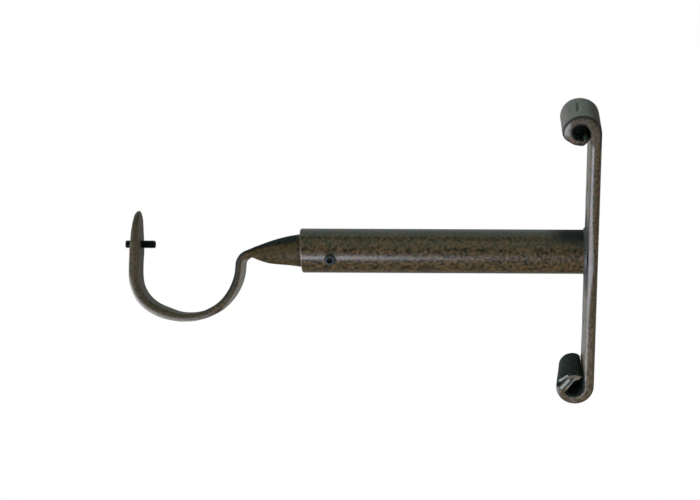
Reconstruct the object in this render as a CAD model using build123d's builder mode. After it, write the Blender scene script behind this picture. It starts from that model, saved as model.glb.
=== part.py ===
"""Extendable curtain pole bracket in wrought iron.

A flat iron wall bar, rolled into a scroll at each end, carries a welded tube. A round rod slides in
the tube and is held by a small clamp screw. Outside the tube the rod is forged flat and bent into a
cup for the pole, and a second screw through the cup's free arm holds the pole.

The frame: the origin is on the wall, on the tube's axis. +X leaves the wall, +Z is up, and +Y is the
side of the clamp screw. Lengths are millimetres, angles degrees.
"""
import os
from math import cos, radians, sin, tan

from build123d import *

os.makedirs("parts", exist_ok=True)

# Wall bar, with its two scrolls
bar_width = 20.0
bar_thickness = 4.0
bar_edge_radius = 1.1
bar_height = 112.8
bar_drop = 0.6  # the bar's middle lies this far below the tube's axis
scroll_depth = 14.0
lower_scroll_far_depth = 11.9  # the lower scroll was rolled tighter on its far side
scroll_front_thickness = 3.3  # the iron thins as it is rolled
tail_thickness = 2.8
tail_turn_outside = 52.0  # how far each face of a tail turns back towards the bar
tail_turn_inside = 60.0
upper_tail_drop = 4.55  # from the middle of a scroll to the far side of its tail
upper_tail_gap = 0.3  # between a tail's end and the bar
lower_tail_drop = 5.8
lower_tail_gap = 1.2
lower_tail_far_drop = 4.8
lower_tail_far_gap = 0.5
wall_hole_diameter = 5.0
wall_hole_spacing = 53.0

# Socket tube and its weld
tube_diameter = 16.0
tube_length = 102.8
tube_rim_radius = 0.6
mouth_cut_angle = 3.5  # the mouth was sawn a little off square, longest on top
weld_leg = 1.0

# Rod of the hook arm, and how it lies in the tube
rod_diameter = 12.0
rod_clearance = 0.1  # all round, in the bore
rod_end_gap = 8.0  # from the wall bar to the rod's inner end
rod_end_chamfer = 0.8
hook_turn = 23.0  # the arm is turned in its socket, its tip away from the clamp screw's side

# Pole and cup
pole_diameter = 35.0
pole_clearance = 0.6
pole_reach = 41.2  # from the tube's mouth to the middle of the cup
pole_drop = 5.45  # the pole's middle lies this far below the rod's axis
strip_width = 18.0
strip_thickness = 2.8
strip_edge_radius = 1.2
wall_corner_radius = 17.6
room_corner_radius = 16.8
neck_radius = 4.3  # of the bend from the rod's direction down into the cup
neck_slope = 22.0  # the strip already falls this steeply before the bend
neck_lead = 1.4  # straight stretch before the bend
arm_lean = 3.3  # the free arm leans in over the pole
tip_rise = 19.65  # the tip stands this far above the pole's middle

# Forged change from round rod to flat strip
taper_start_gap = 0.4  # from the tube's mouth
taper_step = 0.05  # the hammered stretch starts this far under the rod's surface
taper_flat = 0.02  # left between the first section's corners, so that all sections have like edges
taper_middle_width = 13.6
taper_middle_height = 9.2
taper_middle_corner = 4.3
taper_middle_drop = 0.55

# Screws: plain shanks at the thread's outer diameter
screw_clearance = 0.05
screw_chamfer = 0.35
clamp_screw_diameter = 4.0
clamp_screw_length = 3.0
clamp_screw_inset = 10.7  # from the tube's mouth
clamp_screw_point_gap = 0.08  # from its point to the rod
clamp_screw_key = 2.0  # across the flats of the socket
clamp_screw_key_depth = 1.6
pole_screw_diameter = 3.0
pole_screw_length = 11.0
pole_screw_rise = 7.45  # above the pole's middle
pole_screw_proud = 2.7  # its outer end stands out of the arm
pole_screw_key = 1.5
pole_screw_key_depth = 1.6
pole_screw_nose_chamfer = 0.6

# Places along the bar, tube and rod
bar_front = bar_thickness
scroll_height = (bar_height - scroll_depth) / 2
tube_mouth = bar_front + tube_length
pole_projection = tube_mouth + pole_reach
tube_radius = tube_diameter / 2
bore_radius = rod_diameter / 2 + rod_clearance
rod_end = bar_front + rod_end_gap
taper_start = tube_mouth + taper_start_gap
taper_start_size = rod_diameter - 2 * taper_step
clamp_screw_place = tube_mouth - clamp_screw_inset
clamp_screw_end = rod_diameter / 2 + clamp_screw_point_gap + clamp_screw_length

# Places in the cup, each as a distance from the wall and a height over the rod's axis.
# The strip's middle line runs from the neck through the bend and the cup to the base of the tip.
half_strip = strip_thickness / 2
cup_wall_face = pole_projection - (pole_diameter + pole_clearance) / 2
cup_room_face = pole_projection + (pole_diameter + pole_clearance) / 2
cup_bottom = -pole_drop - pole_diameter / 2
wall_corner = (cup_wall_face + wall_corner_radius, cup_bottom + wall_corner_radius)
room_corner = (cup_room_face - room_corner_radius, cup_bottom + room_corner_radius)
bend_bottom = (cup_wall_face - half_strip, wall_corner[1])
bend_middle = (bend_bottom[0] - neck_radius, bend_bottom[1])
bend_top = (
    bend_middle[0] + neck_radius * sin(radians(neck_slope)),
    bend_middle[1] + neck_radius * cos(radians(neck_slope)),
)
neck = (
    bend_top[0] - neck_lead * cos(radians(neck_slope)),
    bend_top[1] + neck_lead * sin(radians(neck_slope)),
)
arm_foot = (
    room_corner[0] + (room_corner_radius + half_strip) * cos(radians(arm_lean)),
    room_corner[1] + (room_corner_radius + half_strip) * sin(radians(arm_lean)),
)
tip_base_height = tip_rise - pole_drop - strip_width / 2
tip_base = (arm_foot[0] - (tip_base_height - arm_foot[1]) * tan(radians(arm_lean)), tip_base_height)
pole_screw_height = pole_screw_rise - pole_drop
arm_outside = (
    arm_foot[0]
    - (pole_screw_height - arm_foot[1]) * tan(radians(arm_lean))
    + half_strip / cos(radians(arm_lean))
)
pole_screw_end = arm_outside + pole_screw_proud

# The bar's planes through its middle: one with its top end up, one with its bottom end up
bar_upright = Plane(origin=(0, 0, -bar_drop), x_dir=(1, 0, 0), z_dir=(0, -1, 0))
bar_inverted = Plane(origin=(0, 0, -bar_drop), x_dir=(1, 0, 0), z_dir=(0, 1, 0))

# The arm's planes, turned in the socket: one seen from its side, one across the rod
arm_side = Plane.XZ.rotated((hook_turn, 0, 0))
arm_section = Plane.YZ.rotated((hook_turn, 0, 0))


def scroll_outline(side, depth, tail_drop, tail_gap):
    """One scroll's face on the plane side, rolled forward from the bar's end at scroll_height."""
    eye_radius = (depth - scroll_front_thickness - bar_thickness) / 2
    tail_reach = depth - tail_drop - bar_front - tail_gap
    end_radius = tail_reach / sin(radians(tail_turn_outside))
    with BuildSketch(side) as outline:
        with BuildLine():
            outer = JernArc((0, scroll_height), (0, 1), depth / 2, -180)
            outer_tail = JernArc(outer @ 1, outer % 1, tail_drop, -90)
            outer_end = JernArc(outer_tail @ 1, outer_tail % 1, end_radius, -tail_turn_outside)
            inner = JernArc((bar_front, scroll_height), (0, 1), eye_radius, -180)
            inner_tail = JernArc(inner @ 1, inner % 1, tail_drop - tail_thickness, -90)
            inner_end = JernArc(
                inner_tail @ 1, inner_tail % 1, end_radius - tail_thickness, -tail_turn_inside
            )
            Line(outer_end @ 1, inner_end @ 1)
            Line(outer @ 0, inner @ 0)
        make_face()
    return outline.sketch


# Wall bar: one flat iron, its ends rolled forward, with two holes for the wall screws
with BuildPart() as wall_plate:
    with BuildSketch(bar_upright):
        with Locations((bar_thickness / 2, 0)):
            Rectangle(bar_thickness, 2 * scroll_height)
    extrude(amount=bar_width / 2, both=True)
    upper_side = bar_upright.offset(-bar_width / 2)
    extrude(scroll_outline(upper_side, scroll_depth, upper_tail_drop, upper_tail_gap), amount=bar_width)
    near_side = bar_inverted.offset(bar_width / 2)
    near_scroll = scroll_outline(near_side, scroll_depth, lower_tail_drop, lower_tail_gap)
    far_side = bar_inverted.offset(-bar_width / 2)
    far_scroll = scroll_outline(
        far_side, lower_scroll_far_depth, lower_tail_far_drop, lower_tail_far_gap
    )
    loft([near_scroll, far_scroll], ruled=True)
    fillet(wall_plate.faces().filter_by(Axis.Y).edges(), bar_edge_radius)
    with BuildSketch(Plane.YZ):
        with Locations((0, -bar_drop)):
            with GridLocations(bar_width, wall_hole_spacing, 1, 2):
                Circle(wall_hole_diameter / 2)
    extrude(amount=bar_thickness, mode=Mode.SUBTRACT)
wall_plate.part.label = "wall_plate"

# Tube: butted on the bar, sawn at the mouth, with a tapped hole near it
with BuildPart() as socket_tube:
    with BuildSketch(Plane.YZ.offset(bar_front)):
        Circle(tube_radius)
    extrude(amount=tube_length + tube_radius)
    split(bisect_by=Plane.YZ.offset(tube_mouth).rotated((0, mouth_cut_angle, 0)), keep=Keep.BOTTOM)
    fillet(socket_tube.faces().sort_by(Axis.X)[-1].edges(), tube_rim_radius)
    with BuildSketch(Plane.YZ.offset(bar_front)):
        Circle(bore_radius)
    extrude(amount=tube_length + tube_radius, mode=Mode.SUBTRACT)
    with BuildSketch(Plane.XZ):
        with Locations((clamp_screw_place, 0)):
            Circle(clamp_screw_diameter / 2 + screw_clearance)
    extrude(amount=-tube_diameter, mode=Mode.SUBTRACT)
socket_tube.part.label = "socket_tube"

# Weld: a small dressed fillet round the foot of the tube
with BuildPart() as weld_bead:
    with BuildSketch(Plane.XZ):
        with BuildLine():
            foot = (bar_front, tube_radius)
            on_bar = (bar_front, tube_radius + weld_leg)
            on_tube = (bar_front + weld_leg, tube_radius)
            Polyline(foot, on_bar, on_tube, close=True)
        make_face()
    revolve(axis=Axis.X)
weld_bead.part.label = "weld_bead"

# Hook arm: one forging from the rod's inner end to the tip
with BuildPart() as hook_arm:
    with BuildSketch(arm_section.offset(rod_end)):
        Circle(rod_diameter / 2)
    extrude(amount=taper_start - rod_end)
    chamfer(hook_arm.edges().sort_by(Axis.X)[0], rod_end_chamfer)

    # The strip, bent into the cup
    with BuildLine(arm_side) as cup_line:
        Line(neck, bend_top)
        CenterArc(bend_middle, neck_radius, 90 - neck_slope, neck_slope - 90)
        CenterArc(wall_corner, wall_corner_radius + half_strip, 180, 90)
        Line((wall_corner[0], cup_bottom - half_strip), (room_corner[0], cup_bottom - half_strip))
        CenterArc(room_corner, room_corner_radius + half_strip, -90, 90 + arm_lean)
        Line(arm_foot, tip_base)
    strip_line = cup_line.wires()[0]
    neck_plane = Plane(origin=strip_line @ 0, x_dir=arm_section.x_dir, z_dir=strip_line % 0)
    with BuildSketch(neck_plane) as neck_section:
        RectangleRounded(strip_width, strip_thickness, strip_edge_radius)
    sweep(path=strip_line)

    # The tip, a half disc with the strip's rounded edge
    tip_plane = Plane(origin=strip_line @ 1, x_dir=arm_section.x_dir, z_dir=strip_line % 1)
    with BuildSketch(tip_plane):
        RectangleRounded(strip_width, strip_thickness, strip_edge_radius)
        with Locations((-strip_width / 2, 0)):
            Rectangle(strip_width, strip_thickness, mode=Mode.SUBTRACT)
    revolve(axis=Axis(tip_plane.origin, -tip_plane.y_dir), revolution_arc=180)

    # The forged change from the rod to the neck
    with BuildSketch(arm_section.offset(taper_start)) as taper_first:
        RectangleRounded(taper_start_size, taper_start_size, (taper_start_size - taper_flat) / 2)
    with BuildSketch(arm_section.offset((taper_start + neck[0]) / 2)) as taper_middle:
        with Locations((0, -taper_middle_drop)):
            RectangleRounded(taper_middle_width, taper_middle_height, taper_middle_corner)
    loft([taper_first.sketch, taper_middle.sketch, neck_section.sketch])

    # The tapped hole for the pole's screw
    with BuildSketch(arm_section.offset(pole_projection)) as screw_hole:
        with Locations((0, pole_screw_height)):
            Circle(pole_screw_diameter / 2 + screw_clearance)
    extrude(screw_hole.sketch, amount=pole_diameter, mode=Mode.SUBTRACT)
hook_arm.part.label = "hook_arm"

# Clamp screw: a short set screw, its point just off the rod
clamp_end_plane = Plane(origin=(clamp_screw_place, clamp_screw_end, 0), x_dir=(1, 0, 0), z_dir=(0, 1, 0))
with BuildPart() as clamp_screw:
    with BuildSketch(clamp_end_plane):
        Circle(clamp_screw_diameter / 2)
    extrude(amount=-clamp_screw_length)
    chamfer(clamp_screw.edges().filter_by(GeomType.CIRCLE), screw_chamfer)
    with BuildSketch(clamp_end_plane):
        RegularPolygon(clamp_screw_key / 2, 6, major_radius=False)
    extrude(amount=-clamp_screw_key_depth, mode=Mode.SUBTRACT)
clamp_screw.part.label = "clamp_screw"

# Pole screw: a longer set screw through the free arm, with a blunt nose towards the pole
pole_end_plane = arm_section.offset(pole_screw_end)
with BuildPart() as pole_screw:
    with BuildSketch(pole_end_plane):
        with Locations((0, pole_screw_height)):
            Circle(pole_screw_diameter / 2)
    extrude(amount=-pole_screw_length)
    screw_rims = pole_screw.edges().filter_by(GeomType.CIRCLE).sort_by(Axis.X)
    chamfer(screw_rims[0], pole_screw_nose_chamfer)
    chamfer(screw_rims[-1], screw_chamfer)
    with BuildSketch(pole_end_plane):
        with Locations((0, pole_screw_height)):
            RegularPolygon(pole_screw_key / 2, 6, major_radius=False)
    extrude(amount=-pole_screw_key_depth, mode=Mode.SUBTRACT)
pole_screw.part.label = "pole_screw"

for piece in (wall_plate, socket_tube, weld_bead, hook_arm, clamp_screw, pole_screw):
    export_step(piece.part, f"parts/{piece.part.label}.step")
    print(piece.part.label, len(piece.part.solids()), round(piece.part.volume, 1))
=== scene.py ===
# %% [markdown]
# # An extendable wrought-iron bracket for a curtain pole
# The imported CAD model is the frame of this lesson. It is loaded first, because every finish and every
# added detail sits on one of its pieces. Lengths are in metres here, so the sizes that a maker would
# give in millimetres go through one constant, MM.

# %% Load the frame
from math import cos, pi, radians, sin

import bmesh
import bpy
import numpy as np
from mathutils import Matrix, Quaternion, Vector, noise


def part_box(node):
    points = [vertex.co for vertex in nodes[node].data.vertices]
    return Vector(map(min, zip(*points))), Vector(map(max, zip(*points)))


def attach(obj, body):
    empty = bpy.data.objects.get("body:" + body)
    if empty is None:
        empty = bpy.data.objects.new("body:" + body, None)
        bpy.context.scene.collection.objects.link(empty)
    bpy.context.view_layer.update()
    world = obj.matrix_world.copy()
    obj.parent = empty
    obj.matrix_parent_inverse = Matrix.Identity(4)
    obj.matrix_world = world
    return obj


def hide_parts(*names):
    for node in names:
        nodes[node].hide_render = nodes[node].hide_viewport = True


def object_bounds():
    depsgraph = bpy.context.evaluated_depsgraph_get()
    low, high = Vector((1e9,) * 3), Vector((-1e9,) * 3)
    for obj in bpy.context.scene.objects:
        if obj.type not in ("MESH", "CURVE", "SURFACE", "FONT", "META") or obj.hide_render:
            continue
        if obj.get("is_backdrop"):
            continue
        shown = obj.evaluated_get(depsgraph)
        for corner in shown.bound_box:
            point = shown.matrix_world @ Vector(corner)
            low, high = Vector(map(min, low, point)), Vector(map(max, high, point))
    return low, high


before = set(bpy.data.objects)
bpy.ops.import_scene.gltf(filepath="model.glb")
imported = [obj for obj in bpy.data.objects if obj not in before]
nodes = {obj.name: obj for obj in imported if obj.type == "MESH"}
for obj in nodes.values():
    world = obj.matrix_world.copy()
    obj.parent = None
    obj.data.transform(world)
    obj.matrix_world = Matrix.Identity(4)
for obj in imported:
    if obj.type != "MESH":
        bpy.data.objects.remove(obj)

MM = 0.001
cad_box = [list(corner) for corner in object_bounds()]
print("nodes:", ", ".join(sorted(nodes)))

# %% [markdown]
# ## Camera
# The photograph was taken from the clamp screw's side, a little above the bracket and with a long lens,
# so lines that are parallel on the bracket stay nearly parallel in the picture. A camera can be placed
# by eye, but here its angles come from fitting the bar's corners, the tube's outline and the cup.


# %% Camera
def add_object(name, data):
    """A new object with this data, placed in the scene."""
    made = bpy.data.objects.new(name, data)
    bpy.context.scene.collection.objects.link(made)
    return made


view_target = Vector((89.16, 0.0, 0.29)) * MM
view_distance = 850 * MM
view_side = radians(2.505)  # the camera stands this far towards the wall
view_rise = radians(23.70)
view_roll = radians(-0.752)
lens_mm = 120.53
sensor_mm = 36.0
farthest_seen = 50.0

towards_camera = Vector((
    -sin(view_side) * cos(view_rise),
    cos(view_side) * cos(view_rise),
    sin(view_rise),
))
camera = add_object("camera", bpy.data.cameras.new("camera"))
bpy.context.scene.camera = camera
camera.data.lens = lens_mm
camera.data.sensor_width = sensor_mm
camera.data.clip_end = farthest_seen
camera.location = view_target + view_distance * towards_camera
camera.rotation_mode = "QUATERNION"
camera.rotation_quaternion = towards_camera.to_track_quat("Z", "Y") @ Quaternion((0, 0, 1), view_roll)
print("camera at", [round(place / MM, 1) for place in camera.location], "mm")

# %% [markdown]
# ## Nodes in one line each
# Materials and the world are built from nodes. One small function adds a node, sets its options and
# fills its inputs, with a number or colour where it is fixed and a link where it comes from another
# node. Colours are written as they look on a screen, so a second function turns the hex value into the
# linear numbers that the renderer adds and multiplies.


# %% Node and colour helpers
def add_node(tree, kind, inputs=None, **options):
    """Add a node of this kind, set its options, and set or link its inputs."""
    made = tree.nodes.new(kind)
    for name, value in options.items():
        setattr(made, name, value)
    for socket, value in (inputs or {}).items():
        if isinstance(value, bpy.types.NodeSocket):
            tree.links.new(value, made.inputs[socket])
        else:
            made.inputs[socket].default_value = value
    return made


def linear(hex_colour):
    """The linear RGBA of a colour written as sRGB hex."""
    values = [int(hex_colour[start:start + 2], 16) / 255 for start in (1, 3, 5)]
    return [v / 12.92 if v <= 0.04045 else ((v + 0.055) / 1.055) ** 2.4 for v in values] + [1.0]


print("mid grey is", round(linear("#808080")[0], 3), "in linear light")

# %% [markdown]
# ## Studio
# The photograph is a cut-out on white with no shadow in view. The bracket hangs on a wall in use, so
# the floor lies well below it and out of the picture. The world is white to the camera and in
# reflections, as a sheet of white paper behind the bracket would be, and gives the rest of the scene a
# plain soft light. Rough materials would hide a wrong world, but this lacquer shows it in every edge.

# %% World
room_strength = 0.25
backdrop_strength = 1.0  # white on the screen

world = bpy.data.worlds.new("studio")
bpy.context.scene.world = world
world.use_nodes = True
tree = world.node_tree
tree.nodes.clear()
light_path = add_node(tree, "ShaderNodeLightPath")
seen_or_reflected = add_node(
    tree, "ShaderNodeMath",
    {0: light_path.outputs["Is Camera Ray"], 1: light_path.outputs["Is Glossy Ray"]},
    operation="MAXIMUM",
)
backdrop_ray = add_node(
    tree, "ShaderNodeMath",
    {0: seen_or_reflected.outputs[0], 1: light_path.outputs["Is Transmission Ray"]},
    operation="MAXIMUM",
)
room_light, backdrop_light = [
    add_node(tree, "ShaderNodeBackground", {"Color": linear("#FFFFFF"), "Strength": strength})
    for strength in (room_strength, backdrop_strength)
]
world_mix = add_node(
    tree, "ShaderNodeMixShader",
    {0: backdrop_ray.outputs[0], 1: room_light.outputs[0], 2: backdrop_light.outputs[0]},
)
add_node(tree, "ShaderNodeOutputWorld", {"Surface": world_mix.outputs[0]})
bpy.context.scene.view_settings.view_transform = "Standard"
print("world:", world.name)

# %% [markdown]
# ## Floor
# The floor is a plain pale disc. A lamp could brighten it, but that would light the bracket too, so it
# glows a little for the camera alone. It stays pale and keeps the bracket's shadow.


# %% Floor
def add_mesh(name, points, faces):
    """A new mesh object from its corner points and faces."""
    mesh = bpy.data.meshes.new(name)
    mesh.from_pydata(points, [], faces)
    mesh.update()
    return add_object(name, mesh)


def add_material(name):
    """A new node material: its tree and its Principled shader."""
    made = bpy.data.materials.new(name)
    made.use_nodes = True
    return made, made.node_tree, made.node_tree.nodes["Principled BSDF"]


floor_drop = 450 * MM
floor_radius = 500 * MM
floor_middle_x = 90 * MM
floor_steps = 96
floor_brightening = 0.55

floor_turns = [2 * pi * step / floor_steps for step in range(floor_steps)]
floor_points = [
    (floor_middle_x + floor_radius * cos(turn), floor_radius * sin(turn), -floor_drop)
    for turn in floor_turns
]
floor = add_mesh("floor", floor_points, [list(range(floor_steps))])
paint, tree, shader = add_material("matt_white_floor_paint")
shader.inputs["Base Color"].default_value = linear("#D8D8D6")
shader.inputs["Roughness"].default_value = 0.8
floor_glow = add_node(
    tree, "ShaderNodeMath",
    {0: add_node(tree, "ShaderNodeLightPath").outputs["Is Camera Ray"], 1: floor_brightening},
    operation="MULTIPLY",
)
shader.inputs["Emission Color"].default_value = linear("#FFFFFF")
tree.links.new(floor_glow.outputs[0], shader.inputs["Emission Strength"])
floor.data.materials.append(paint)
floor.visible_glossy = False
floor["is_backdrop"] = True
print("floor", floor_drop / MM, "mm below the tube")

# %% [markdown]
# ## Cards
# The lacquer shows what stood round the bracket: darkness low in front and overhead, a pale greenish
# glow above the camera, a light rim from high behind. A photographer sets such zones with grey and black
# cards. Here they are strips of an arch that only reflections see, so they shade no lamp. Low in front,
# behind and below they darken towards the wall.

# %% Cards
card_radius = 1500 * MM
card_end = 2500 * MM
card_steps = 12
# Degrees from the camera's side over the zenith, glow on the wall's and the room's side, colour
card_zones = (
    ("low", -95, 42, 0.10, 0.60, "#E8EEFF"),
    ("over_camera", 42, 82, 1.10, 1.10, "#DEFFEC"),
    ("overhead", 82, 101, 0.12, 0.12, "#C0FFFF"),
    ("behind_high", 101, 126, 0.05, 1.30, "#E4FFFA"),
    ("behind", 126, 172, 0.05, 0.85, "#E4FFFC"),
    ("below", 172, 265, 0.36, 1.00, "#F0F8FF"),
)
even_ramp = (-100, 100)
card_ramps = {  # where the glow rises, in millimetres along the tube
    "low": (800, 1600), "behind_high": (-900, 0), "behind": (-900, 0), "below": (250, 800),
}
for zone, low, high, wall_glow, room_glow, colour in card_zones:
    card_turns = np.radians(np.linspace(low, high, card_steps))
    card_points = [
        (end, card_radius * cos(turn), card_radius * sin(turn))
        for turn in card_turns
        for end in (-card_end, card_end)
    ]
    card_faces = [(2 * i, 2 * i + 1, 2 * i + 3, 2 * i + 2) for i in range(card_steps - 1)]
    card = add_mesh("card_" + zone, card_points, card_faces)
    card_cloth, tree, shader = add_material("matt_card_" + zone)
    tree.nodes.clear()
    place = add_node(tree, "ShaderNodeTexCoord").outputs["Object"]
    axes = add_node(tree, "ShaderNodeSeparateXYZ", {0: place})
    ramp_start, ramp_end = card_ramps.get(zone, even_ramp)
    ramp = add_node(
        tree, "ShaderNodeMapRange",
        {
            "Value": axes.outputs["X"], "From Min": ramp_start * MM, "From Max": ramp_end * MM,
            "To Min": wall_glow, "To Max": room_glow,
        },
    )
    glow = add_node(tree, "ShaderNodeEmission", {"Color": linear(colour), "Strength": ramp.outputs[0]})
    add_node(tree, "ShaderNodeOutputMaterial", {"Surface": glow.outputs[0]})
    card.data.materials.append(card_cloth)
    card.visible_camera = False
    card.visible_diffuse = False
    card.visible_shadow = False
    card.visible_transmission = False
    card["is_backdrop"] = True
print(len(card_zones), "cards round the bracket")

# %% [markdown]
# ## Lamps
# The tube's lavender highlight tells where the light stood: low in front of it, long and narrow, and
# ending near the wall bar. The bar's front edge and the scrolls are as light, and they face the room,
# so the light went on round that side. It was perhaps one row of windows. Area lamps stand for it,
# because a lamp's edges and size decide how sharp the highlights are. The strip close to the tube is
# seen by reflections only, and a larger lamp behind it gives the soft light that comes with it.


# %% Lamps
def add_lamp(name, place_mm, aim_mm, width_mm, height_mm, radiance, colour, lights=True, reflects=True):
    """An area lamp of that size, whose surface is radiance times as bright as white paper."""
    lamp = bpy.data.lights.new(name, "AREA")
    lamp.shape = "RECTANGLE"
    lamp.size = width_mm * MM
    lamp.size_y = height_mm * MM
    lamp.energy = radiance * pi * lamp.size * lamp.size_y
    lamp.color = linear(colour)[:3]
    made = add_object(name, lamp)
    made.location = Vector(place_mm) * MM
    aim = Vector(aim_mm) * MM - made.location
    made.rotation_euler = aim.to_track_quat("-Z", "Y").to_euler()
    made.visible_camera = False
    made.visible_diffuse = lights
    made.visible_glossy = reflects
    print(name, "lamp,", round(lamp.energy, 2), "W")


add_lamp("front_strip", (330, 340, -85), (330, 0, 0), 500, 72, 23.0, "#DCE8FF", lights=False)
add_lamp("front_fill", (250, 1150, -285), (100, 0, 0), 900, 400, 5.0, "#F4F4FF", reflects=False)
add_lamp("back_fill", (100, -1150, -285), (100, 0, 0), 900, 400, 4.0, "#F4F4FF", reflects=False)
add_lamp("room_window", (1300, 580, -600), (60, 0, 0), 1300, 480, 9.0, "#E4EAFF")

# %% [markdown]
# ## Rust patina under lacquer
# Bar, tube and arm have the brown finish that smiths call rust patina: the iron is rusted on purpose,
# brushed down to its dark scale, and sealed with a satin clear lacquer or wax. The eye gets a dark
# olive-brown ground, soft patches of ochre, flecks of rust and dark scale a millimetre or so across,
# and the soft reflections of the clear coat. A metal shader would tint those reflections, so the patina
# is a dielectric, with the IOR of a clear lacquer. One function mixes the finish for each piece,
# because the pieces differ only in how coarse, how red and how smooth it is. Three values that each
# piece can carry on its points say where it is paler or has a painted highlight, where it is darkened
# by soot and painted shade, and where it is dull.


# %% Patina
# black for soot, and for painted shade and dark reflections
soot_black = "#0B0E0B"
# pale tone for paler patches and for painted highlights
worn_pale = "#ACA593"
dull_roughness = 0.75
lacquer_ior = 1.5
gloss_swing = 0.06  # how much rougher or smoother than the rest a fleck can be
# Noise values at which each tint starts and is full
ochre_range = (0.38, 0.64)
rust_range = (0.51, 0.66)
scale_range = (0.48, 0.35)
gloss_range = (0.3, 0.7)


def add_patina(name, ground, ochre, rust, scale, fleck_mm, patch_mm, roughness, pit_depth_mm, gleam):
    """A rust patina: a dark ground, patches of ochre, flecks of rust and scale, under satin lacquer."""
    made, tree, shader = add_material(name)
    place = add_node(tree, "ShaderNodeTexCoord").outputs["Object"]
    patches = add_node(
        tree, "ShaderNodeTexNoise",
        {"Vector": place, "Scale": 1 / (patch_mm * MM), "Detail": 3.0, "Roughness": 0.6},
    )
    flecks = add_node(
        tree, "ShaderNodeTexNoise",
        {"Vector": place, "Scale": 1 / (fleck_mm * MM), "Detail": 2.0, "Roughness": 0.5},
    )
    colour = linear(ground)
    for tint, texture, (start, full) in (
        (ochre, patches, ochre_range),
        (rust, flecks, rust_range),
        (scale, flecks, scale_range),
    ):
        share = add_node(
            tree, "ShaderNodeMapRange",
            {"Value": texture.outputs[0], "From Min": start, "From Max": full},
        )
        mixed = add_node(
            tree, "ShaderNodeMix",
            {"Factor": share.outputs[0], 6: colour, 7: linear(tint)},
            data_type="RGBA",
        )
        colour = mixed.outputs[2]
    # paler tone and painted highlights, then soot and painted shade, by values on the points
    for share_name, tint in (("worn", worn_pale), ("soot", soot_black)):
        share = add_node(tree, "ShaderNodeAttribute", attribute_name=share_name)
        mixed = add_node(
            tree, "ShaderNodeMix",
            {"Factor": share.outputs["Fac"], 6: colour, 7: linear(tint)},
            data_type="RGBA", name=share_name,
        )
        colour = mixed.outputs[2]
    gloss = add_node(
        tree, "ShaderNodeMapRange",
        {
            "Value": flecks.outputs[0], "From Min": gloss_range[0], "From Max": gloss_range[1],
            "To Min": roughness - gloss_swing, "To Max": roughness + gloss_swing,
        },
    )
    dull = add_node(tree, "ShaderNodeAttribute", attribute_name="dull")
    dulled = add_node(
        tree, "ShaderNodeMix",
        {"Factor": dull.outputs["Fac"], 2: gloss.outputs[0], 3: dull_roughness},
        data_type="FLOAT", name="dull",
    )
    pitting = add_node(
        tree, "ShaderNodeBump",
        {"Height": flecks.outputs[0], "Distance": pit_depth_mm * MM, "Strength": 1.0},
    )
    tree.links.new(colour, shader.inputs["Base Color"])
    tree.links.new(dulled.outputs[0], shader.inputs["Roughness"])
    tree.links.new(pitting.outputs[0], shader.inputs["Normal"])
    shader.inputs["IOR"].default_value = lacquer_ior
    shader.inputs["Specular IOR Level"].default_value = gleam
    print(name, "with flecks of", fleck_mm, "mm")
    return made


# %% [markdown]
# ## Four mixes of the patina
# The drawn tube has the coarsest flecks. The rolled bar has the lightest ground and the most shine, and
# the forged arm is the smoothest. The arm's taper is dry and brown, with little shine. They could share
# one material with values on their points, but four mixes are easier to match.

# %% Four mixes of the patina
tube_patina = add_patina(
    "rust_patina_on_drawn_tube", ground="#433821", ochre="#574B2E", rust="#6C5336", scale="#252317",
    fleck_mm=1.1, patch_mm=4.0, roughness=0.33, pit_depth_mm=0.03, gleam=0.35,
)
bar_patina = add_patina(
    "rust_patina_on_rolled_bar", ground="#493E25", ochre="#564B2C", rust="#6B4E31", scale="#282518",
    fleck_mm=1.0, patch_mm=4.5, roughness=0.35, pit_depth_mm=0.02, gleam=0.5,
)
arm_patina = add_patina(
    "rust_patina_on_forged_arm", ground="#42371F", ochre="#4D4328", rust="#5E4427", scale="#2E2919",
    fleck_mm=0.8, patch_mm=4.0, roughness=0.26, pit_depth_mm=0.02, gleam=0.34,
)
taper_patina = add_patina(
    "dry_rust_patina_on_taper", ground="#493D21", ochre="#554A2B", rust="#654D2F", scale="#302A19",
    fleck_mm=1.0, patch_mm=4.0, roughness=0.35, pit_depth_mm=0.03, gleam=0.15,
)

# %% [markdown]
# ## Darker top by the bar and a painted glint at the mouth
# The top of the tube turns black and dull over the last centimetre before the bar, and the front of the
# mouth's rim gets a painted glint. The tube is a solid of the frame, with no values on its points, so
# each share comes from two ramps over its own coordinates, multiplied.

# %% Darker top by the bar and a painted glint at the mouth
tree = tube_patina.node_tree
place = add_node(tree, "ShaderNodeTexCoord").outputs["Object"]
axes = add_node(tree, "ShaderNodeSeparateXYZ", {0: place})
tube_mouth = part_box("socket_tube")[1][0] / MM
# black and dull on the tube's top towards the bar
darker_top_by_bar = (("X", 19.0, 12.0), ("Z", 4.2, 7.2))  # for two axes, where it starts and is full, in mm
# painted glint on the front of the mouth's rim
mouth_glint = (("X", tube_mouth - 1.2, tube_mouth), ("Y", 6.6, 8.2))
for share_name, spans in (("soot", darker_top_by_bar), ("dull", darker_top_by_bar), ("worn", mouth_glint)):
    ramps = [
        add_node(
            tree, "ShaderNodeMapRange",
            {"Value": axes.outputs[axis], "From Min": start * MM, "From Max": full * MM},
        )
        for axis, start, full in spans
    ]
    share = add_node(
        tree, "ShaderNodeMath",
        {0: ramps[0].outputs[0], 1: ramps[1].outputs[0]},
        operation="MULTIPLY",
    )
    tree.links.new(share.outputs[0], tree.nodes[share_name].inputs["Factor"])
    print("tube share", share_name, "is full at", round(spans[0][2], 1), "mm from the wall")

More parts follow.
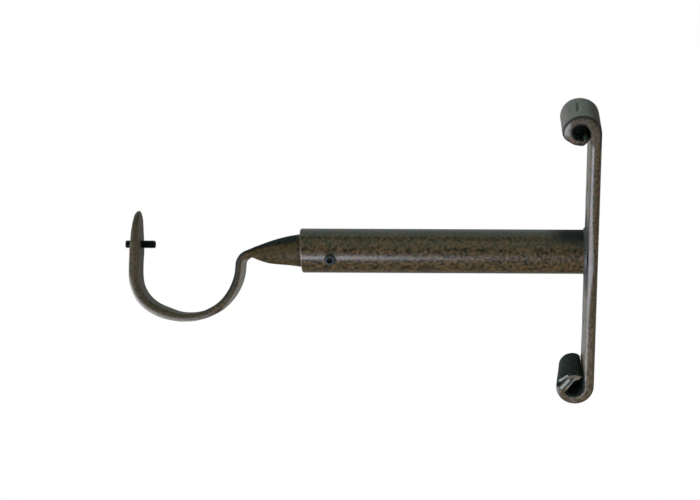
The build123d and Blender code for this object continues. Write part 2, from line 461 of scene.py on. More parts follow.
# %% [markdown]
# ## Black forge scale and painted shade
# Inside the scrolls no brush could reach. The black scale from the fire is still there: iron oxide that
# came off the anvil matt and sooty. The same black also paints shade and dark reflections: deep in the
# eyes, at the tips of the tails, on the top of the lower roll and of the arm's taper, and in the screws'
# sockets. The eye gets nearly nothing back from it, only a faint grain. Soot on the patina alone would
# still shine like lacquer, so those faces get a finish of their own, with a low specular level. The
# function that mixes it serves two more oxides below.


# %% Black forge scale and painted shade
oxide_ior = 1.5  # of the soot, wax or oil on top, not of the bare oxide


def add_oxide(name, grain_mm, detail, dark, pale, roughness, gleam, spread=(0.0, 1.0)):
    """An oxide with a grain from dark to pale, over the noise values in spread, and uneven gloss."""
    made, tree, shader = add_material(name)
    place = add_node(tree, "ShaderNodeTexCoord").outputs["Object"]
    grain = add_node(
        tree, "ShaderNodeTexNoise",
        {"Vector": place, "Scale": 1 / (grain_mm * MM), "Detail": detail},
    )
    share = add_node(
        tree, "ShaderNodeMapRange",
        {"Value": grain.outputs[0], "From Min": spread[0], "From Max": spread[1]},
    )
    colour = add_node(
        tree, "ShaderNodeMix",
        {"Factor": share.outputs[0], 6: linear(dark), 7: linear(pale)},
        data_type="RGBA",
    )
    gloss = add_node(
        tree, "ShaderNodeMapRange",
        {"Value": grain.outputs[0], "To Min": roughness[0], "To Max": roughness[1]},
    )
    tree.links.new(colour.outputs[2], shader.inputs["Base Color"])
    tree.links.new(gloss.outputs[0], shader.inputs["Roughness"])
    shader.inputs["IOR"].default_value = oxide_ior
    shader.inputs["Specular IOR Level"].default_value = gleam
    print(name, "with a grain of", grain_mm, "mm")
    return made


# black forge scale, which also paints shade and dark reflections
black_scale_and_shade = add_oxide(
    "black_forge_scale_and_shade", grain_mm=1.4, detail=3.0, dark="#050A07", pale="#2C362D",
    roughness=(0.65, 0.85), gleam=0.15, spread=(0.38, 0.66),
)

# %% [markdown]
# ## Painted glints on the lower tail
# On the near end of the lower scroll the folded layers show bright glints. A metal would only show what
# it mirrors, which is dark from here, so the glints are painted: a dielectric with a pale greenish-grey
# colour of its own, much paler than the patina. Its grain is drawn coarser than a real one, which would
# not show at this distance.

# %% Painted glints on the lower tail
# painted glints: a pale colour in place of bright reflections
tail_glint_paint = add_oxide(
    "pale_painted_glint", grain_mm=0.9, detail=2.0, dark="#828980", pale="#B8BFB5",
    roughness=(0.4, 0.6), gleam=0.5,
)

# %% [markdown]
# ## Black oxide
# The two set screws are black oxide steel: a hot salt bath turns the skin of the steel into black
# magnetite, and an oil seals it. The eye gets a near-black with a cold blue-green glint on its edges.
# The skin is a thin oxide, not bare metal, so it is mixed as a dark dielectric too, with its small
# uneven spots drawn a little coarser than they are, because real ones would not show.

# %% Black oxide
black_oxide = add_oxide(
    "black_oxide_on_turned_steel", grain_mm=0.6, detail=2.0, dark="#04090A", pale="#12201F",
    roughness=(0.25, 0.5), gleam=0.22,
)

# %% [markdown]
# ## Rings of a set screw
# Both screws are headless set screws: a thread along their whole length, a hexagon socket for a key in
# one end, and a blunt nose. The frame holds them as plain shanks of the thread's outer diameter. A
# thread could be a screw modifier, but a grid wrapped round the axis is simpler to cap: each ring of
# points is pulled in by the thread's depth where the groove passes, and the groove moves round by one
# turn for each pitch.

# %% Rings of a set screw
screw_steps = 48  # round the screw; a multiple of six, so that the socket gets its corners
pitch_steps = 8  # rings to each turn of the thread
thread_depth = 0.54  # as a share of the pitch
thread_flat = 0.125  # of the groove's slope, cut off at the crest and at the root
socket_depth_mm = 1.6
socket_bevel_mm = 0.1  # at the rim of the socket
screw_chamfer_mm = 0.35
thread_edge_angle = radians(35)  # steeper edges than this look sharp
screw_turns = np.arange(screw_steps) / screw_steps


def screw_rings(length, radius, pitch, key_mm, nose):
    """The rings from the socket's floor over its rim to the nose: how far along each lies, its radii."""
    chamfer = screw_chamfer_mm * MM
    bevel = socket_bevel_mm * MM
    key = key_mm * MM / 2 / np.cos(((screw_turns * 2 * pi + pi / 6) % (pi / 3)) - pi / 6)
    rings = [(socket_depth_mm * MM, key), (bevel, key), (0.0, key + bevel)]
    rings.append((0.0, np.full(screw_steps, radius - chamfer)))
    for step in range(1, round(length / pitch * pitch_steps)):
        place = step * pitch / pitch_steps
        slope = np.abs(2 * ((place / pitch - screw_turns) % 1) - 1)
        groove = np.clip((1 + 2 * thread_flat) * slope - thread_flat, 0, 1)
        thread = radius - thread_depth * pitch * groove
        into_nose = max(nose - length + place, 0)
        rounded = radius - nose + (nose * nose - into_nose * into_nose) ** 0.5
        rings.append((place, np.minimum(thread, min(radius - chamfer + place, rounded))))
    rings.append((length, np.full(screw_steps, radius - nose)))
    return rings


def ring_faces(ring_count, ring_size, closed=False):
    """The faces between neighbouring rings of points, and from the last to the first if it is closed."""
    count = ring_count * ring_size
    return [
        (ring * ring_size + i, ring * ring_size + (i + 1) % ring_size,
         ((ring + 1) * ring_size + (i + 1) % ring_size) % count, ((ring + 1) * ring_size + i) % count)
        for ring in range(ring_count if closed else ring_count - 1)
        for i in range(ring_size)
    ]


print("each ring of a screw has", screw_steps, "points")

# %% [markdown]
# ## Set screws
# The clamp screw sits in the tube and the pole screw in the arm's tip, each where the frame has its
# shank. The socket could be a hole cut with a boolean, but the first rings already form it, so only its
# floor is added. Its faces get the black forge scale, as painted shade deep in the socket.


# %% Set screws
def add_set_screw(node, axis, pitch_mm, key_mm, nose_mm):
    """A threaded set screw in place of a node whose socket end lies towards the axis direction."""
    low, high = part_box(node)
    middle = (low + high) / 2
    along = Vector(axis)
    across = Vector((0, 0, 1))
    third = along.cross(across)
    index = [abs(value) for value in axis].index(1)
    length = (high - low)[index]
    radius = (high - low)[(index + 1) % 3] / 2
    rings = screw_rings(length, radius, pitch_mm * MM, key_mm, nose_mm * MM)
    points = [
        middle + along * (length / 2 - place)
        + across * r * cos(2 * pi * turn) + third * r * sin(2 * pi * turn)
        for place, radii in rings
        for turn, r in zip(screw_turns, radii)
    ]
    faces = ring_faces(len(rings), screw_steps)
    socket_floor = len(faces)
    faces.append(list(range(screw_steps))[::-1])
    faces.append([(len(rings) - 1) * screw_steps + i for i in range(screw_steps)])
    screw = add_mesh("threaded_" + node, points, faces)
    screw.data.materials.append(black_oxide)
    screw.data.materials.append(black_scale_and_shade)
    # painted shade: the socket's walls and floor get the black forge scale
    for face in list(range(screw_steps)) + [socket_floor]:
        screw.data.polygons[face].material_index = 1
    screw.data.shade_smooth()
    screw.data.set_sharp_from_angle(angle=thread_edge_angle)
    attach(screw, node)
    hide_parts(node)
    print(screw.name, "length", round(length / MM, 2), "mm, diameter", round(2 * radius / MM, 2), "mm")


add_set_screw("clamp_screw", (0, 1, 0), pitch_mm=0.7, key_mm=2.0, nose_mm=0.5)
add_set_screw("pole_screw", (1, 0, 0), pitch_mm=0.5, key_mm=1.5, nose_mm=0.9)

# %% [markdown]
# ## Forged pieces
# The bar and the arm were worked by hand, so their edges are softer than the frame's solids and their
# faces are a little uneven. Modelling each dent would take long. A copy of the solid is instead given
# an even fine mesh by voxel remeshing, and its edges are softened by smoothing. Small forms need a finer
# grid, so a box of the mesh can be cut up further.


# %% Forged copies
forged_voxel_mm = 0.34
softening_rounds = 5


def add_forged_copy(node):
    """A copy of a node's solid with an even mesh and softened edges, not yet uneven."""
    copy = add_object("forged_" + node, nodes[node].data.copy())
    remesh = copy.modifiers.new("even mesh", "REMESH")
    remesh.mode = "VOXEL"
    remesh.voxel_size = forged_voxel_mm * MM
    smooth = copy.modifiers.new("soft edges", "SMOOTH")
    smooth.factor = 0.5
    smooth.iterations = softening_rounds
    shaped = copy.evaluated_get(bpy.context.evaluated_depsgraph_get())
    copy.data = bpy.data.meshes.new_from_object(shaped)
    copy.modifiers.clear()
    copy.data.shade_smooth()
    copy.data.materials.clear()
    print(copy.name, len(copy.data.polygons), "faces")
    return copy


def refine(piece, low_mm, high_mm, cuts):
    """Cuts the faces of a piece inside a box, given in millimetres, into a finer grid."""
    mesh = bmesh.new()
    mesh.from_mesh(piece.data)
    low, high = Vector(low_mm) * MM, Vector(high_mm) * MM
    inside = {
        vertex for vertex in mesh.verts
        if all(low[axis] < vertex.co[axis] < high[axis] for axis in range(3))
    }
    edges = [edge for edge in mesh.edges if edge.verts[0] in inside and edge.verts[1] in inside]
    bmesh.ops.subdivide_edges(mesh, edges=edges, cuts=cuts, use_grid_fill=True)
    mesh.to_mesh(piece.data)
    mesh.free()
    print(piece.name, len(piece.data.polygons), "faces after", len(edges), "edges were cut")


bar = add_forged_copy("wall_plate")
refine(bar, low_mm=(4.4, 6.0, -51.8), high_mm=(14.5, 10.5, -43.5), cuts=2)  # near end of the lower tail
arm = add_forged_copy("hook_arm")

# %% [markdown]
# ## Points as numbers
# Sculpting by hand can't be repeated exactly, so the points of a forged copy are read as arrays, moved by
# formulas and written back. The same arrays give each point its shares of soot and painted shade, of
# dullness, and of paler tone and painted highlight. Ramps and bell curves say where a form starts and
# ends, and noise with the size of hammer marks makes it uneven.


# %% Points and shares
def read_points(piece):
    """The points of a piece and their normals, in millimetres."""
    count = len(piece.data.vertices)
    points = np.zeros(count * 3)
    piece.data.vertices.foreach_get("co", points)
    normals = np.zeros(count * 3)
    piece.data.vertex_normals.foreach_get("vector", normals)
    return points.reshape(-1, 3) / MM, normals.reshape(-1, 3)


def write_points(piece, points):
    """Moves the points of a piece to these places, in millimetres."""
    piece.data.vertices.foreach_set("co", (points * MM).ravel())
    piece.data.update()


def write_shares(piece, **shares):
    """Gives each point of a piece its shares of soot and painted shade, dullness or pale tone and painted
    highlight, from 0 to 1.
    """
    for name, values in shares.items():
        layer = piece.data.attributes.new(name, "FLOAT", "POINT")
        layer.data.foreach_set("value", values)


def finish_faces(piece, finish, chosen):
    """Gives a finish to the faces whose points are mostly chosen."""
    piece.data.materials.append(finish)
    slot = len(piece.data.materials) - 1
    for face in piece.data.polygons:
        if chosen[list(face.vertices)].mean() > 0.5:
            face.material_index = slot


def fade(values, start, full):
    """A smooth rise from 0 at start to 1 at full, for each value."""
    share = np.clip((values - start) / (full - start), 0, 1)
    return share * share * (3 - 2 * share)


def between(values, start, full, full_end, end):
    """A smooth rise from start to full, and a fall from full_end to end, for each value."""
    return fade(values, start, full) * fade(values, end, full_end)


def bell(values, middle, width):
    """A bell curve, 1 at the middle and a third or so at that width from it, for each value."""
    return np.exp(-(((values - middle) / width) ** 2))


def hammer_marks(points, mark_mm, seed):
    """Smooth noise between -1 and 1 for each point, with features of that size."""
    shift = Vector((seed, 2 * seed, 3 * seed))
    return np.array([noise.noise(Vector(point) / mark_mm + shift) for point in points])


print("half way up a ramp the share is", fade(np.array([0.5]), 0, 1)[0])

# %% [markdown]
# ## Wall bar
# The bar is flat iron, rolled forward at both ends. A solid with exact arcs would look cast, so the copy
# gets the slight waves that a hammer leaves, on all sides but the back that lies on the wall. Each cell
# below works out how far some of the points move, and they are all moved at the end.

# %% Waves on the bar
points, normals = read_points(bar)
x, y, z = points.T
bar_long_wave = 0.10
bar_short_wave = 0.05
move = bar_long_wave * hammer_marks(points, mark_mm=9.0, seed=1.7)
move += bar_short_wave * hammer_marks(points, mark_mm=4.0, seed=5.3)
move *= fade(x, 0.3, 1.5)
print("waves of", round(np.ptp(move), 2), "mm on the bar")

# %% [markdown]
# ## Nick on the upper scroll
# A tool left a nick across the top of the upper scroll and threw up a low burr beside it. A cut made
# with a boolean would be too clean, so both are narrow bell curves that wander a little.

# %% Nick on the upper scroll
nick_depth = 0.40
nick_width = 0.35
nick_middle_x = 8.5
nick_slant = 0.05
nick_wander = 0.35
burr_height = 0.15
burr_gap = 1.5
on_top = fade(normals[:, 2], 0.5, 0.9) * (z > 50)
nick_x = nick_middle_x + nick_slant * y + nick_wander * hammer_marks(points, mark_mm=2.5, seed=4.1)
nick_shape = bell(x, nick_x, nick_width) * between(y, -5.5, -3.0, 2.5, 5.8)
burr_shape = bell(x, nick_x - burr_gap, nick_width) * between(y, -4.0, -1.0, 5.0, 7.5)
move += on_top * (burr_height * burr_shape - nick_depth * nick_shape)
print("nick", nick_depth, "mm deep, burr", burr_height, "mm high")

# %% [markdown]
# ## Eyes of the scrolls
# No brush reached inside the scrolls, so their eyes are still black from the fire, and the same black
# paints the shade deep inside them. The top of the lower roll is black as a painted dark reflection, and
# the roll keeps faint bands from the forging. A painted mask would need a map of the surface. The
# distance from the middle of each scroll, and whether a point faces it, tell the same.

# %% Eyes of the scrolls
upper_eye = (7.35, 48.8)  # from the wall and above the tube's axis
lower_eye = (7.0, -50.0)
scroll_reach = 9  # all points of a scroll lie nearer to its middle than this
band_height = 0.06


def eye_shares(middle):
    """How far each point lies from a scroll's middle, and how much it faces away from it."""
    out = np.stack([x - middle[0], z - middle[1]])
    reach = np.hypot(*out)
    return reach, (normals[:, 0] * out[0] + normals[:, 2] * out[1]) / np.maximum(reach, 0.1)


upper_reach, upper_outward = eye_shares(upper_eye)
lower_reach, lower_outward = eye_shares(lower_eye)
above_bar_face = np.where(x < 5.0, fade(z, 45.5, 47.5), 1)
eye_rim = fade(normals[:, 1], 0.2, 0.4) * fade(x, 5.4, 4.8) * fade(z, 43.5, 45.5) * (upper_reach < 7)
# forge scale and painted shade inside the upper eye
upper_inside = fade(-upper_outward, 0.05, 0.35) * fade(upper_reach, 6.0, 5.2) * above_bar_face
upper_inside *= 1 - eye_rim
# painted shade on the tip of the upper tail, where it meets the bar
upper_tail = between(x, 4.2, 4.5, 5.4, 6.6) * (z > 43) * (z < 48.5) * (upper_reach < 5.5)
# forge scale and painted shade inside the lower eye
lower_inside = fade(-lower_outward, 0.15, 0.55) * fade(lower_reach, 7.5, 6.5)
# painted dark reflection on the top of the lower roll, which also gets faint bands
rolled_top = fade(lower_outward, 0.2, 0.6) * fade(z, -51.0, -48.5) * fade(x, 4.6, 5.2)
rolled_top *= lower_reach < scroll_reach
move += band_height * hammer_marks(points / (6.0, 1.8, 6.0), mark_mm=1.0, seed=2.2) * rolled_top
sooty_points = [int((inside > 0.5).sum()) for inside in (upper_inside, lower_inside)]
print("points with soot in the eyes:", sooty_points)

# %% [markdown]
# ## Spread end of the lower tail
# The last blows on the lower scroll flattened the near end of its tail and spread its inner edge to a
# straight line. The end could be modelled apart and joined on, but the join would show. So the points are
# drawn to that line, and distances are measured from it: across it, and along it from its lower end.

# %% Spread end of the lower tail
fold_middle = (8.2, -50.0)
fold_start = (9.57, -50.68)
fold_out = (0.757, 0.654)  # square to the inner edge, towards the outer layers
fold_size = 6.2  # the tail's near end lies within this distance of its middle
flare_start = 5.6
flare_run = 2.6
fold_reach = np.hypot(x - fold_middle[0], z - fold_middle[1])
fold_turn = np.degrees(np.arctan2(z - fold_middle[1], x - fold_middle[0]))
across_fold = (x - fold_start[0]) * fold_out[0] + (z - fold_start[1]) * fold_out[1]
along_fold = (z - fold_start[1]) * fold_out[0] - (x - fold_start[0]) * fold_out[1]
on_tail = between(fold_turn, -40, -15, 115, 135)
flare = np.clip((flare_start - fold_reach) / flare_run, 0, 1) * fade(y, 6.0, 9.0) * on_tail
flare_shift = -across_fold * flare
across_fold = across_fold + flare_shift
# painted shade in the gap between the end of the lower tail and the bar
past_edge = fade(across_fold, -0.1, -0.4) * fade(fold_turn, 90, 105)
past_edge *= (y > 6) * (fold_reach < fold_size) * (x > 4.4)
print("edge spread by up to", round(-flare_shift.min(), 2), "mm")

# %% [markdown]
# ## Layers on the lower tail
# The flattened end shows three straight layers with dark seams between them. Lines in a bump map would
# have no depth from the side, so the seams are pressed into the mesh, each a bell curve across the fold.

# %% Layers on the lower tail
seam_depth = 0.45
layer_run_out = 0.4  # over which a layer ends
on_near_end = fade(normals[:, 1], -0.1, 0.3) * fade(y, 7.5, 8.5) * (fold_reach < fold_size) * on_tail


def tail_layer(middle, width, start, end):
    """A straight layer on the tail's near end: its middle and width across, its start and end along."""
    length = between(
        along_fold, start - layer_run_out, start + layer_run_out, end - layer_run_out, end + layer_run_out
    )
    return bell(across_fold, middle, width) * length * on_near_end


outer_layer = tail_layer(4.57 - 0.26 * along_fold, 0.45, 0.1, 4.0)
middle_layer = tail_layer(2.05, 0.6, -1.6, 3.2)
inner_layer = tail_layer(0.25, 0.4, 0.1, 6.8)
seams = tail_layer(3.25, 0.4, -1.4, 3.8) + tail_layer(1.1, 0.35, -0.6, 4.4)
move -= seam_depth * seams
print("seams", seam_depth, "mm deep")

# %% [markdown]
# ## Near end of the upper scroll
# Seen from its near end the upper scroll isn't round: the iron is thicker on the room's side, which makes
# the eye narrow, and its lower corner there is flattened. The tail sags over the whole width. A lattice
# could bend it so, but the turn about the scroll's middle tells more simply how far each point goes out
# or in.

# %% Near end of the upper scroll
flattened_by = 0.85
sagging_by = 0.65
thickened_by = 1.0
scroll_turn = np.degrees(np.arctan2(z - upper_eye[1], x - upper_eye[0]))
flattened = -flattened_by * bell(scroll_turn, -40, 25)
thickened = -thickened_by * bell(scroll_turn, -15, 50)
sagging = sagging_by * bell(scroll_turn, -103, 22)
outer_share = fade(upper_reach, 4.0, 6.0)
ring_shift = (flattened * outer_share + thickened * (1 - outer_share)) * fade(y, 0, 6) + sagging
ring_shift *= (z > 40) * (upper_reach < scroll_reach) * fade(x, 4.2, 5.2)
print("ring of the upper scroll goes in by up to", round(-ring_shift.min(), 2), "mm")

# %% [markdown]
# ## Worn edge and closed tail
# The bar's near front edge is worn to a slope, widest beside the tube. The near side of the upper scroll
# turns a little towards the room, and the lower tail lies almost on the bar. A bevel would be too even
# for that. Each is a shift of points by about a millimetre at most, worked out from their places, and
# then all the points are moved.

# %% Worn edge and closed tail
bar_face_x = 4.0
bevel_by_ends = 1.15
bevel_gain_by_tube = 1.05
bevel_slope = 0.45
front_turn = 0.06  # grows with the square of the distance past front_turn_x
front_turn_x = 10.2
tail_clearance = 0.15
bevel_width = bevel_by_ends + bevel_gain_by_tube * bell(z, 0, 14.0)
bevel = bevel_slope * np.clip(x - bar_face_x + bevel_width, 0, bevel_width) * fade(np.abs(z), 49, 44)
front_turned = front_turn * fade(y, 0, 9) * np.maximum(x - front_turn_x, 0) ** 2 * (z > 42)
tail_gap = 0.85 + 0.035 * y  # wider on the near side
tail_end = fade(z, -48.5, -46.0) * fade(x, 9.0, 6.0) * (x > 4.35) * (z < -42)
ring_out = np.radians(scroll_turn)
points += normals * move[:, None]
points[:, 0] += fold_out[0] * flare_shift + ring_shift * np.cos(ring_out)
points[:, 0] -= (tail_gap - tail_clearance) * tail_end
points[:, 1] -= front_turned + bevel * fade(y, 5, 10)
points[:, 2] += fold_out[1] * flare_shift + ring_shift * np.sin(ring_out)
write_points(bar, points)
print("slope on the bar's edge up to", round(bevel_width.max(), 2), "mm wide")

# %% [markdown]
# ## Soot and painted shade on the bar
# The eyes get forge scale and painted shade, the seams are dark, and the nick gets painted shade. The
# rim of the upper scroll and its wall side get a painted dark reflection, the near face of its ring a
# mottled painted shade. Soot lies in streaks along its top, and soot and painted shade round the weld.
# All this could be painted as a texture, which needs an unwrapped mesh. The places and directions of
# the points are at hand, so each patch is a product of ramps.

# %% Soot and painted shade on the bar
facing_near = fade(normals[:, 1], 0.15, 0.4)
# painted dark reflection on the outer rim of the upper ring's near face
upper_rim = fade(upper_outward, 0.2, 0.5) * facing_near * (y > 7) * (z > 42) * (upper_reach < scroll_reach)
# soot and painted shade on the bar's front face round the weld
soot_and_shade_round_weld = fade(np.hypot(y, z), 19, 12) * fade(normals[:, 0], 0.3, 0.7)
# mottled painted shade on the near face of the upper ring
ring_mottle = np.clip(0.6 + 0.9 * hammer_marks(points, mark_mm=1.3, seed=9.2), 0, 1)
ring_shade = 0.4 * ring_mottle * fade(normals[:, 1], 0.5, 0.8) * fade(z, 45, 51) * fade(x, 11.5, 9.0)
# painted dark reflection on the wall side of the upper roll
roll_back = 0.65 * fade(-normals[:, 0], 0.3, 0.8) * fade(z, 46, 50) * fade(normals[:, 1], 0.5, 0.2)
streaks = np.clip(hammer_marks(points / (0.9, 6.0, 0.9), mark_mm=1.0, seed=3.7), 0, 1)
roll_streaks = 0.3 * streaks * fade(upper_outward, 0.3, 0.7) * (z > 47)
# forge scale and painted shade in the eyes and at the tails, painted dark reflection on the roll's top
scale_and_painted_shade = np.maximum.reduce([upper_inside, upper_tail, lower_inside, rolled_top, past_edge])
soot = np.maximum.reduce([
    # the nick gets painted shade; the seams are dark
    scale_and_painted_shade, on_top * nick_shape, np.minimum(seams, 1),
    upper_rim, soot_and_shade_round_weld, ring_shade, roll_back, roll_streaks,
])
print("points with soot on the bar:", int((soot > 0.5).sum()))

# %% [markdown]
# ## Finish on the bar
# The lower half of the bar is a little paler, and the inner layer of the tail gets a painted highlight.
# Its two outer layers carry the painted glints, and what no brush reached gets the black forge scale,
# which there paints shade too. The patina could blend into these by a share too, but their edges are
# sharp, so whole faces change their material.

# %% Finish on the bar
bar_soot = 0.9 * soot
# a little paler towards the bottom of the bar, in mottles
paler_mottle = 1 + 1.8 * hammer_marks(points, mark_mm=1.6, seed=6.4)
worn_low = 0.09 * paler_mottle * fade(z, 0, -45)
# painted highlight on the inner layer of the lower tail
bar_worn = np.maximum(0.7 * inner_layer, worn_low)
bar.data.materials.append(bar_patina)
write_shares(bar, soot=bar_soot, dull=np.maximum(bar_soot, eye_rim), worn=bar_worn)
finish_faces(bar, black_scale_and_shade, scale_and_painted_shade > 0.6)
finish_faces(bar, tail_glint_paint, np.maximum(outer_layer, middle_layer) > 0.45)
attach(bar, "wall_mount")
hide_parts("wall_plate")
print("finishes on the bar:", [finish.name for finish in bar.data.materials])

# %% [markdown]
# ## Hook arm
# The arm is one forging: round where it slides in the tube, drawn out flat, bent into a cup and rounded
# at its tip. It gets hammer waves as the bar does, but only outside the tube. The strip is turned in the
# socket, so its own upward direction is worked out first. The tip was hammered thin towards its rim. A
# taper modifier works along the object's axes, and the tip leans, so its points are drawn towards the
# strip's middle instead.

# %% Waves and tip of the arm
points, normals = read_points(arm)
x, y, z = points.T
hook_turn = radians(23.0)
rise = z * cos(hook_turn) - y * sin(hook_turn)
upward = normals[:, 2] * cos(hook_turn) - normals[:, 1] * sin(hook_turn)
outside = fade(x, tube_mouth + 1, tube_mouth + 7)
arm_long_wave = 0.10
arm_short_wave = 0.04
arm_waves = arm_long_wave * hammer_marks(points, mark_mm=8.0, seed=3.1)
arm_waves += arm_short_wave * hammer_marks(points, mark_mm=3.5, seed=7.9)
points += normals * (arm_waves * outside)[:, None]
tip_base_x = 166.58
tip_base_rise = 5.2
tip_length = 9.0
tip_thinning = 0.30
lean = 0.0577  # the free arm leans towards the wall by this share of its rise
tip_share = fade(rise, tip_base_rise, tip_base_rise + tip_length) * (x > 150)
tip_middle = tip_base_x - (rise - tip_base_rise) * lean
points[:, 0] += (tip_middle - x) * tip_thinning * tip_share
print("tip thinned by a share of", tip_thinning, "over", tip_length, "mm")

# %% [markdown]
# ## Corner of the cup
# The cup was bent by hand, so its lower free corner bulges past a true arc and is a little thicker, and
# so is the free arm above it. A lattice could push it out, but the direction from the cup's middle and
# the depth in the strip tell how far each point goes.

# %% Corner of the cup
cup_x = tube_mouth + 41.2
cup_rise = -5.45
cup_inner_radius = 17.8
cup_size = 26  # the cup, without its tip, lies within this distance of its middle
strip_thickness = 2.8
corner_bulge = 1.15
inner_corner_bulge = 0.45
inner_corner_hollow = 0.4  # beside that bulge, towards the bottom
fuller_outside = 0.2
fuller_inside = 0.5
from_cup = np.stack([x - cup_x, rise - cup_rise])
cup_reach = np.maximum(np.hypot(*from_cup), 0.1)
cup_turn = np.degrees(np.arctan2(from_cup[1], from_cup[0]))
depth_share = np.clip((cup_reach - cup_inner_radius) / strip_thickness, 0, 1)
outer_bulge = corner_bulge * bell(cup_turn, -38, 25)
inner_bulge = inner_corner_bulge * bell(cup_turn, -36, 18) - inner_corner_hollow * bell(cup_turn, -68, 12)
free_arm_fullness = fuller_outside * depth_share - fuller_inside * (1 - depth_share)
free_arm_fullness *= between(cup_turn, -30, 0, 60, 75)
bulge = inner_bulge + (outer_bulge - inner_bulge) * depth_share + free_arm_fullness
bulge *= (cup_reach < cup_size) * (x > cup_x)
points[:, 0] += bulge * from_cup[0] / cup_reach
points[:, 1] -= bulge * from_cup[1] / cup_reach * sin(hook_turn)
points[:, 2] += bulge * from_cup[1] / cup_reach * cos(hook_turn)
print("corner bulges by up to", round(bulge.max(), 2), "mm")

# %% [markdown]
# ## Underside of the taper
# The taper is slimmer below, near the tube, and fuller towards the neck. More sections in the CAD loft
# could give that, but it is half a millimetre, so the points that face down are lifted or lowered here.

# %% Underside of the taper
taper_end = 126.0
slimmer_by = 0.5
fuller_by = 0.25
before_neck = fade(x, taper_end + 5, taper_end - 3)
taper_lift = slimmer_by - (slimmer_by + fuller_by) * fade(x, tube_mouth + 4.2, tube_mouth + 14)
taper_lift *= fade(x, tube_mouth - 1.5, tube_mouth + 4) * before_neck
points[:, 2] += taper_lift * fade(-upward, 0.1, 0.9)
write_points(arm, points)
print("taper lifted by up to", round(taper_lift.max(), 2), "mm")

# %% [markdown]
# ## Painted shade and highlights on the arm
# The top of taper and neck gets a painted dark reflection, the rod at the tube's mouth a painted shadow,
# and the neck's inner edge painted shade. The cup is dull inside and a little paler inside its free arm.
# Its outer side gets a painted sheen by the neck and a painted highlight along the bottom edge. As on
# the bar, the places and the directions in which points face tell where, with no painted map.

# %% Painted shade and highlights on the arm
skyline = np.array((0.10, -0.40, 0.91))  # the side that faces up and back
to_near_edge = y * cos(hook_turn) + z * sin(hook_turn)  # across the strip, from its middle line
neck_side = fade(x, 137, 133) * (x > taper_end)
# painted dark reflection along the top of taper and neck
top_soot = fade(normals @ skyline, 0.38, 0.64) * between(x, tube_mouth, tube_mouth + 2, 130, 136)
# painted shadow where the rod goes into the tube's mouth
mouth_soot = 0.55 * between(x, tube_mouth - 1.0, tube_mouth, tube_mouth + 0.4, tube_mouth + 1.2)
# painted shade on the neck's inner edge
inner_soot = (0.3 + 0.6 * fade(to_near_edge, 3.5, 6.5)) * fade(normals[:, 0], -0.05, 0.35) * neck_side
# all the painted shade on the arm
arm_soot = np.maximum.reduce([top_soot, mouth_soot, inner_soot])
cup_outward = (normals[:, 0] * from_cup[0] + upward * from_cup[1]) / cup_reach
inside_cup = fade(-cup_outward, 0.3, 0.7) * (cup_reach < cup_size) * (x > cup_x - 21)
outer_mottle = np.clip(0.95 + 0.35 * hammer_marks(points, mark_mm=2.2, seed=2.9), 0, 1)
# painted sheen on the outer side by the neck
outer_side_sheen = 0.98 * outer_mottle * fade(-normals[:, 0], 0.4, 0.7) * neck_side
along_bottom = between(cup_turn, -130, -100, -25, -5) * fade(to_near_edge, 6.6, 8.2)
# painted highlight along the lower near edge of the cup
lower_edge_highlight = 0.8 * fade(cup_outward, 0.4, 0.75) * along_bottom
# a little paler inside the free arm of the cup
inner_paler = 0.12 * inside_cup * fade(cup_turn, -60, -30)
# painted highlights and paler tone on the arm
arm_worn = np.maximum.reduce([outer_side_sheen, lower_edge_highlight, inner_paler])
print("points with soot on the arm:", int((arm_soot > 0.5).sum()))

# %% [markdown]
# ## Finish on the arm
# Drawing it out left the taper dull, with the drier and browner patina, which ends in flecks at the neck.
# A straight border between two materials would look like paint, so noise breaks it up. Where the painted
# dark reflection on top of taper and neck is blackest, it gets the black forge scale.

# %% Finish on the arm
arm_dullness = 0.35
taper_dullness = 0.75 * outside * before_neck
cup_dullness = 0.65 * inside_cup
arm_dull = np.maximum.reduce([np.full(len(x), arm_dullness), taper_dullness, cup_dullness, arm_soot])
arm.data.materials.append(arm_patina)
write_shares(arm, soot=arm_soot, dull=arm_dull, worn=arm_worn)
dry = fade(x, tube_mouth - 2, tube_mouth) * before_neck
dry += 0.45 * hammer_marks(points, mark_mm=1.0, seed=8.6)
finish_faces(arm, taper_patina, dry > 0.5)
# the blackest painted dark reflection gets the black forge scale
finish_faces(arm, black_scale_and_shade, top_soot > 0.7)
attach(arm, "arm")
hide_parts("hook_arm")
print("finishes on the arm:", [finish.name for finish in arm.data.materials])

# %% [markdown]
# ## Weld
# A weld bead shows the crescents that its pool left as it went round the tube. The frame has it as a
# plain ring. Bump could fake the crescents, but they catch light on their edges, so here they are
# rings of points whose height rises and falls along the bead.

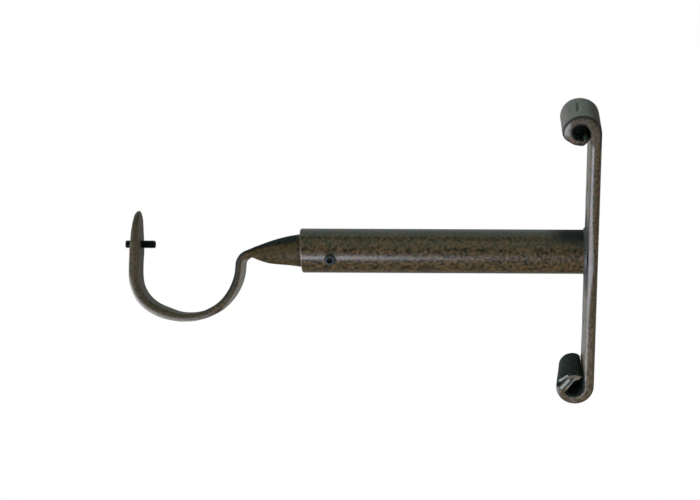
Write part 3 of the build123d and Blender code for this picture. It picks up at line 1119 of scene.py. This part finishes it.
# %% Rippled weld
weld_low, weld_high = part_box("weld_bead")
weld_foot_x = weld_low[0]
weld_leg = weld_high[0] - weld_low[0]
weld_radius = weld_high[2] - weld_leg
ripple_count = 46
ripple_steps = 8
weld_profile = 7  # points over the bead, from the tube to the bar
weld_fullness = 0.72  # of the bead's middle, as a share of its leg
ripple_height = 0.20
weld_edge_angle = radians(50)
weld_soot = 0.85
weld_dullness = 0.3
weld_steps = ripple_count * ripple_steps
weld_points = []
for step in range(weld_steps):
    turn = 2 * pi * step / weld_steps
    crest = 1 - (step % ripple_steps) / ripple_steps
    for place in range(weld_profile):
        slope = place / (weld_profile - 1) * pi / 2
        swell = weld_leg * (weld_fullness + ripple_height * crest * sin(2 * slope))
        if place in (0, weld_profile - 1):
            swell = weld_leg
        out = weld_radius + swell * sin(slope)
        weld_points.append((weld_foot_x + swell * cos(slope), out * cos(turn), out * sin(turn)))
    weld_points.append((weld_foot_x, weld_radius * cos(turn), weld_radius * sin(turn)))
weld_count = len(weld_points)
weld = add_mesh("rippled_weld", weld_points, ring_faces(weld_steps, weld_profile + 1, closed=True))
weld.data.shade_smooth()
weld.data.set_sharp_from_angle(angle=weld_edge_angle)
weld.data.materials.append(bar_patina)
write_shares(weld, soot=np.full(weld_count, weld_soot), dull=np.full(weld_count, weld_dullness))
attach(weld, "wall_mount")
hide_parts("weld_bead")
print(weld.name, ripple_count, "ripples on a leg of", round(weld_leg / MM, 2), "mm")

# %% [markdown]
# ## Finish on the tube
# The tube is drawn, not forged. A copy could be made uneven as the bar was, but a drawn tube is even, so
# it keeps its exact solid from the frame, and only its material changes.

# %% Finish on the tube
tube = nodes["socket_tube"]
tube.data.materials.clear()
tube.data.materials.append(tube_patina)
print("socket_tube is", tube_patina.name)

# %% [markdown]
# ## Sizes and finish
# Both boxes, of the frame and of the dressed bracket, are printed for comparison.

# %% Sizes and finish
visual_box = [list(corner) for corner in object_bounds()]
for name, box in (("frame", cad_box), ("dressed", visual_box)):
    print(name, [round((high - low) / MM, 2) for low, high in zip(*box)], "mm")
